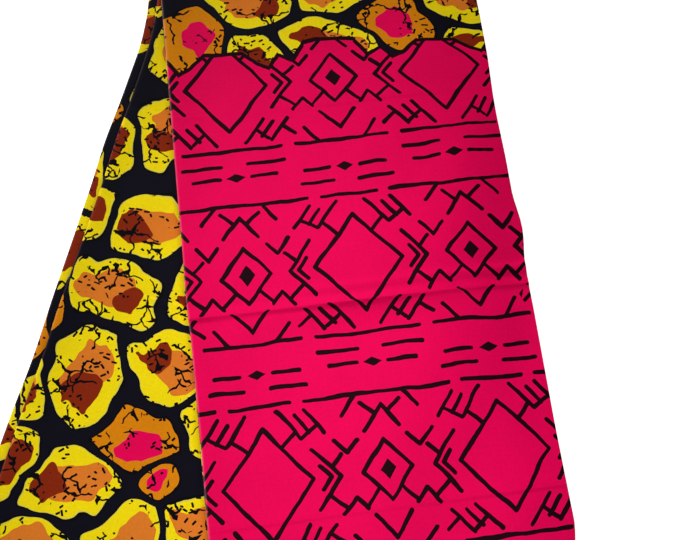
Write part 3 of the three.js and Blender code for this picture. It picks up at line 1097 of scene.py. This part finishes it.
# Places and sizes here are in metres, and the lens and its film in millimetres.
LOOK_AT = (0.0577, 0.0323, 0.0)
CAMERA_TILT = math.radians(15)
CAMERA_AWAY = 0.769
LENS = 47.6
FILM = 36.0
FLOOR = {"size": 8.0, "under": 0.0002}
FLOOR_FINISH = {
    "Base Color": (0.86, 0.86, 0.86, 1),
    "Roughness": 0.9,
    "Specular IOR Level": 0.0,
    "Emission Color": (1, 1, 1, 1),
    "Emission Strength": 1.0,
}


def add_floor():
    bpy.ops.mesh.primitive_plane_add(size=FLOOR["size"], location=(0, 0, -FLOOR["under"]))
    floor = bpy.context.object
    floor.name = "pale_floor"
    material = bpy.data.materials.new("pale_floor")
    material.use_nodes = True
    shader = material.node_tree.nodes["Principled BSDF"]
    for label, value in FLOOR_FINISH.items():
        shader.inputs[label].default_value = value
    floor.data.materials.append(material)


BOXES = [
    {"name": "upper_box", "at": (0.01, 0.086), "high": 0.25, "size": 0.2, "power": 0.262},
    {"name": "lower_box", "at": (0.088, -0.183), "high": 0.29, "size": 0.2, "power": 0.39},
    {"name": "left_box", "at": (-0.2, -0.16), "high": 0.16, "size": 0.14, "power": 0.046},
]
SIDE_FROM = (-0.66, 0.75)  # the side light's bearing
SIDE_UP = math.radians(24)
SIDE_STRENGTH = 2.55
SIDE_SOFTNESS = math.radians(14)
BACKDROP = 1.0  # how bright the backdrop looks
AMBIENT = 0.1  # and how much light it gives


def add_light(name, kind, strength):
    data = bpy.data.lights.new(name, kind)
    data.energy = strength
    light = bpy.data.objects.new(name, data)
    bpy.context.scene.collection.objects.link(light)
    return light


def add_lights():
    """Soft boxes over the cloth, and a low soft light from the upper left."""
    for row in BOXES:
        box = add_light(row["name"], "AREA", row["power"])
        box.data.size = row["size"]
        box.location = (*row["at"], row["high"])
    side = add_light("side", "SUN", SIDE_STRENGTH)
    side.data.angle = SIDE_SOFTNESS
    side.rotation_euler = (math.pi / 2 - SIDE_UP, 0, math.atan2(SIDE_FROM[0], -SIDE_FROM[1]))
    world = bpy.data.worlds.new("studio")
    world.use_nodes = True
    tree = world.node_tree
    background = tree.nodes["Background"]
    background.inputs[0].default_value = (1, 1, 1, 1)
    seen = Field(tree, tree.nodes.new("ShaderNodeLightPath").outputs["Is Camera Ray"])
    tree.links.new((seen * (BACKDROP - AMBIENT) + AMBIENT).socket, background.inputs[1])
    bpy.context.scene.world = world


def add_camera():
    data = bpy.data.cameras.new("camera")
    data.lens = LENS
    data.sensor_width = FILM
    data.sensor_fit = "HORIZONTAL"
    camera = bpy.data.objects.new("camera", data)
    bpy.context.scene.collection.objects.link(camera)
    camera.location = (
        LOOK_AT[0],
        LOOK_AT[1] - CAMERA_AWAY * math.sin(CAMERA_TILT),
        LOOK_AT[2] + CAMERA_AWAY * math.cos(CAMERA_TILT),
    )
    camera.rotation_euler = (CAMERA_TILT, 0, 0)
    bpy.context.scene.camera = camera


# --- Putting it together ----------------------------------------------------------------------------


def lay_cloth():
    crackle = crackle_group()
    groups = {
        "pebbles": pebbles_group(pebble_group(), crackle),
        "line_work": line_work_group(stroke_gap_group()),
        "weave": weave_group(),
        "fold_highlight": fold_highlight_group(),
    }
    finishes = {kind: cloth_material(kind, groups) for kind in ("magenta", "pebble")}
    for row in STRETCHES:
        cloth = folded_cloth(row)
        cloth.data.materials.append(finishes[row["print"]])
        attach(cloth, "root")
        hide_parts(*row["replaces"])
        row["print"] + "_print"
        turn = BUNDLE * math.pi / 2 if row["hinge"] else 0.0
        flat_length = (row["end"] - row["start"] + turn) * MM
        [name + "_cloth" for name in row["rests_on"]]


bpy.ops.object.select_all(action="DESELECT")
bpy.context.scene.view_settings.view_transform = "Standard"
add_camera()
add_floor()
add_lights()
lay_cloth()
